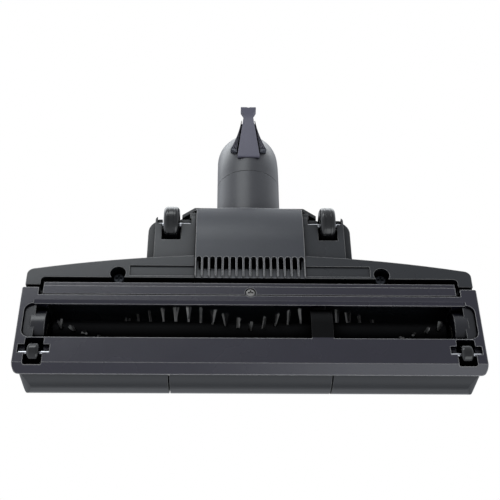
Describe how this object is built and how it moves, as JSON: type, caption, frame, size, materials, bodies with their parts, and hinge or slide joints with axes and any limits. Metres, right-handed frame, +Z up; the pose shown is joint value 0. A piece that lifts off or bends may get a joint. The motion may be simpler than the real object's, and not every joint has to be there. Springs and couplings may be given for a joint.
{
  "type": "vacuum floor brush head",
  "caption": "Wide air-turbine floor brush head with a bristled roller in a suction mouth, wheels, and a tilting, swivelling neck that takes a wand.",
  "frame": {"origin": "on the floor under the middle of the head's overall box", "axes": "+Z up, -Y towards the front bumper, +X to the left of a user standing behind the head"},
  "size_m": [0.278, 0.2369, 0.0898],
  "materials": {
    "sole_plastic": "satin moulded plastic",
    "base_plastic": "satin moulded plastic",
    "block_plastic": "satin moulded plastic",
    "cover_plastic": "fine-textured moulded plastic",
    "end_block_plastic": "satin moulded plastic",
    "inner_plastic": "plain moulded plastic",
    "bush_plastic": "natural bearing plastic",
    "bristle_nylon": "bundled nylon filament",
    "neck_plastic": "satin moulded plastic",
    "hook_plastic": "satin moulded plastic",
    "wheel_plastic": "gloss moulded plastic",
    "tyre_rubber": "gloss rubber",
    "belt_rubber": "matt rubber",
    "axle_steel": "ground steel",
    "screw_steel": "bright plated steel",
    "dark_screw_steel": "blackened steel"
  },
  "bodies": {
    "head": {"sole_frame": "sole_plastic", "sole_screw": "screw_steel", "housing_screws": "dark_screw_steel", "base_housing": "base_plastic", "turbine_cover": "block_plastic", "top_cover_center": "cover_plastic", "top_cover_left": "cover_plastic", "top_cover_right": "cover_plastic", "roller_end_block_left": "end_block_plastic", "roller_end_block_right": "end_block_plastic", "roller_bush_left": "bush_plastic", "roller_bush_right": "bush_plastic", "drive_belt": "belt_rubber", "turbine_bearing_left": "bush_plastic", "turbine_bearing_right": "bush_plastic", "turbine_shroud": "inner_plastic", "rear_axle_left": "axle_steel", "rear_axle_right": "axle_steel", "front_axle_left": "axle_steel", "front_axle_right": "axle_steel", "trunnion_cap_left": "inner_plastic", "trunnion_cap_right": "inner_plastic"},
    "roller": {"roller_core": "inner_plastic", "bristle_tufts": "bristle_nylon", "roller_pulley": "inner_plastic"},
    "turbine": {"turbine_wheel": "inner_plastic", "turbine_shaft": "axle_steel", "turbine_pinion": "inner_plastic"},
    "rear_wheel_left": {"rear_wheel_hub_left": "wheel_plastic", "rear_wheel_tyre_left": "tyre_rubber"},
    "rear_wheel_right": {"rear_wheel_hub_right": "wheel_plastic", "rear_wheel_tyre_right": "tyre_rubber"},
    "front_wheel_left": {"front_wheel_left": "wheel_plastic"},
    "front_wheel_right": {"front_wheel_right": "wheel_plastic"},
    "neck": {"neck_tube": "neck_plastic"},
    "elbow": {"swivel_elbow": "neck_plastic", "swivel_ring": "bush_plastic", "swivel_seal": "belt_rubber", "parking_hook": "hook_plastic"}
  },
  "joints": [
    {"name": "roller_spin", "type": "hinge", "parent": "head", "child": "roller", "pos_m": [0, -0.08374, 0.0185], "axis": [1, 0, 0], "continuous": true},
    {"name": "turbine_spin", "type": "hinge", "parent": "head", "child": "turbine", "pos_m": [0, -0.04999, 0.03902], "axis": [1, 0, 0], "continuous": true},
    {"name": "rear_wheel_left_spin", "type": "hinge", "parent": "head", "child": "rear_wheel_left", "pos_m": [0.0505, -0.00499, 0.012], "axis": [1, 0, 0], "continuous": true},
    {"name": "rear_wheel_right_spin", "type": "hinge", "parent": "head", "child": "rear_wheel_right", "pos_m": [-0.0505, -0.00499, 0.012], "axis": [1, 0, 0], "continuous": true},
    {"name": "front_wheel_left_spin", "type": "hinge", "parent": "head", "child": "front_wheel_left", "pos_m": [0.1273, -0.10479, 0.006], "axis": [1, 0, 0], "continuous": true},
    {"name": "front_wheel_right_spin", "type": "hinge", "parent": "head", "child": "front_wheel_right", "pos_m": [-0.1273, -0.10479, 0.006], "axis": [1, 0, 0], "continuous": true},
    {"name": "neck_tilt", "type": "hinge", "parent": "head", "child": "neck", "pos_m": [0, -0.00649, 0.0355], "axis": [1, 0, 0], "range_deg": [0, 85]},
    {"name": "neck_swivel", "type": "hinge", "parent": "neck", "child": "elbow", "pos_m": [0, 0.04451, 0.0355], "axis": [0, 1, 0], "range_deg": [-90, 90]}
  ],
  "couplings": [
    {"joint": "turbine_spin", "follows": "roller_spin", "ratio": 2.1765}
  ]
}
